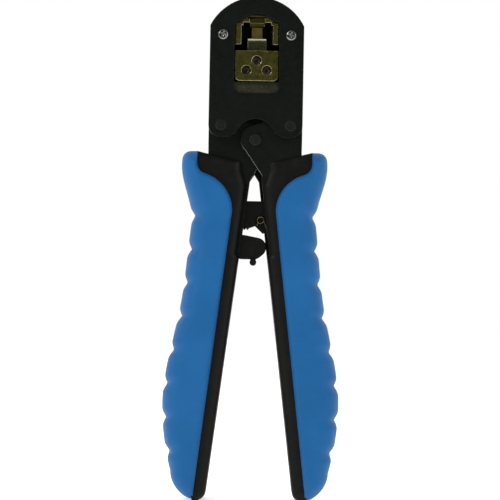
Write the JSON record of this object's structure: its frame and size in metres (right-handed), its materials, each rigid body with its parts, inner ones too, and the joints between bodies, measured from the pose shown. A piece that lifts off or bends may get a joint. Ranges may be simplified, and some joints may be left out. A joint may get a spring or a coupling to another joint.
{
  "type": "ratchet crimping tool",
  "caption": "Hand tool with a ratchet that presses a modular plug onto a cable: an upright steel head with a die window over two sprung handles with notched soft grips.",
  "frame": {"origin": "on the floor midway between the two handle butts, on the tool's middle plane", "axes": "+Z from the butts up to the head, -Y out of the front plate with the die window, +X to the right as seen from the front"},
  "size_m": [0.0762, 0.0234, 0.2166],
  "materials": {
    "head_black": "black oxide, satin",
    "frame_steel": "dark machined steel",
    "nickel": "bright nickel plate",
    "rivet_black": "black oxide, slightly polished",
    "spring_steel": "spring steel",
    "olive_brass": "yellow chromate over ground steel",
    "pale_gold": "pale gold, ground",
    "bare_steel": "ground steel",
    "lever_black": "black oxide, sheared edges",
    "hard_black": "moulded, fine spark texture",
    "soft_blue": "soft overmoulding, matt",
    "rack_black": "black oxide",
    "lever_plastic": "moulded",
    "spring_brass": "bright wire"
  },
  "bodies": {
    "head": {"front_plate": "head_black", "back_plate": "head_black", "head_frame": "frame_steel", "head_screws": "nickel", "head_nuts": "nickel", "left_pivot_pin": "rivet_black", "right_pivot_pin": "rivet_black", "left_pivot_spacers": "bare_steel", "right_pivot_sleeve": "bare_steel", "opening_spring": "spring_steel", "stationary_die": "olive_brass", "die_dowels": "bare_steel", "plug_stop": "pale_gold"},
    "ram": {"ram": "frame_steel", "moving_die": "olive_brass", "moving_die_screws": "bare_steel", "contact_blades": "bare_steel", "staking_punch": "pale_gold", "drive_pin": "rivet_black", "drive_pin_ring": "spring_steel"},
    "left_handle": {"left_lever_front": "lever_black", "left_lever_back": "lever_black", "left_core": "hard_black", "left_core_pins": "bare_steel", "left_grip": "soft_blue", "pawl_pin": "bare_steel", "pawl_spring": "spring_steel"},
    "right_handle": {"right_lever_front": "lever_black", "right_lever_back": "lever_black", "right_core": "hard_black", "right_core_pins": "bare_steel", "right_grip": "soft_blue", "rack_pin": "bare_steel", "rack_spacers": "bare_steel"},
    "rack": {"ratchet_rack": "rack_black", "rack_spring": "spring_brass"},
    "release_lever": {"release_pawl": "lever_plastic", "release_knob": "lever_plastic"}
  },
  "joints": [
    {"name": "left_handle_pivot", "type": "hinge", "parent": "head", "child": "left_handle", "pos_m": [-0.0149, 0, 0.1611], "axis": [0, -1, 0], "range_deg": [0, 5.8], "stiffness_Nm_per_rad": 0.8, "springref_deg": -28.65},
    {"name": "right_handle_pivot", "type": "hinge", "parent": "head", "child": "right_handle", "pos_m": [0.0149, 0, 0.1611], "axis": [0, 1, 0], "range_deg": [0, 5.8]},
    {"name": "ram_slide", "type": "slide", "parent": "head", "child": "ram", "axis": [0, 0, 1], "range_m": [0, 0.00168]},
    {"name": "rack_pivot", "type": "hinge", "parent": "right_handle", "child": "rack", "pos_m": [0.0096, 0, 0.122], "axis": [0, -1, 0], "range_deg": [0, 5.8]},
    {"name": "release_lever_pivot", "type": "hinge", "parent": "left_handle", "child": "release_lever", "pos_m": [-0.0082, 0, 0.1095], "axis": [0, 1, 0], "range_deg": [0, 12], "stiffness_Nm_per_rad": 0.01, "springref_deg": -17.19}
  ],
  "couplings": [
    {"joint": "right_handle_pivot", "follows": "left_handle_pivot", "ratio": 1},
    {"joint": "ram_slide", "follows": "left_handle_pivot", "m_per_rad": 0.016562},
    {"joint": "rack_pivot", "follows": "left_handle_pivot", "ratio": 1}
  ]
}
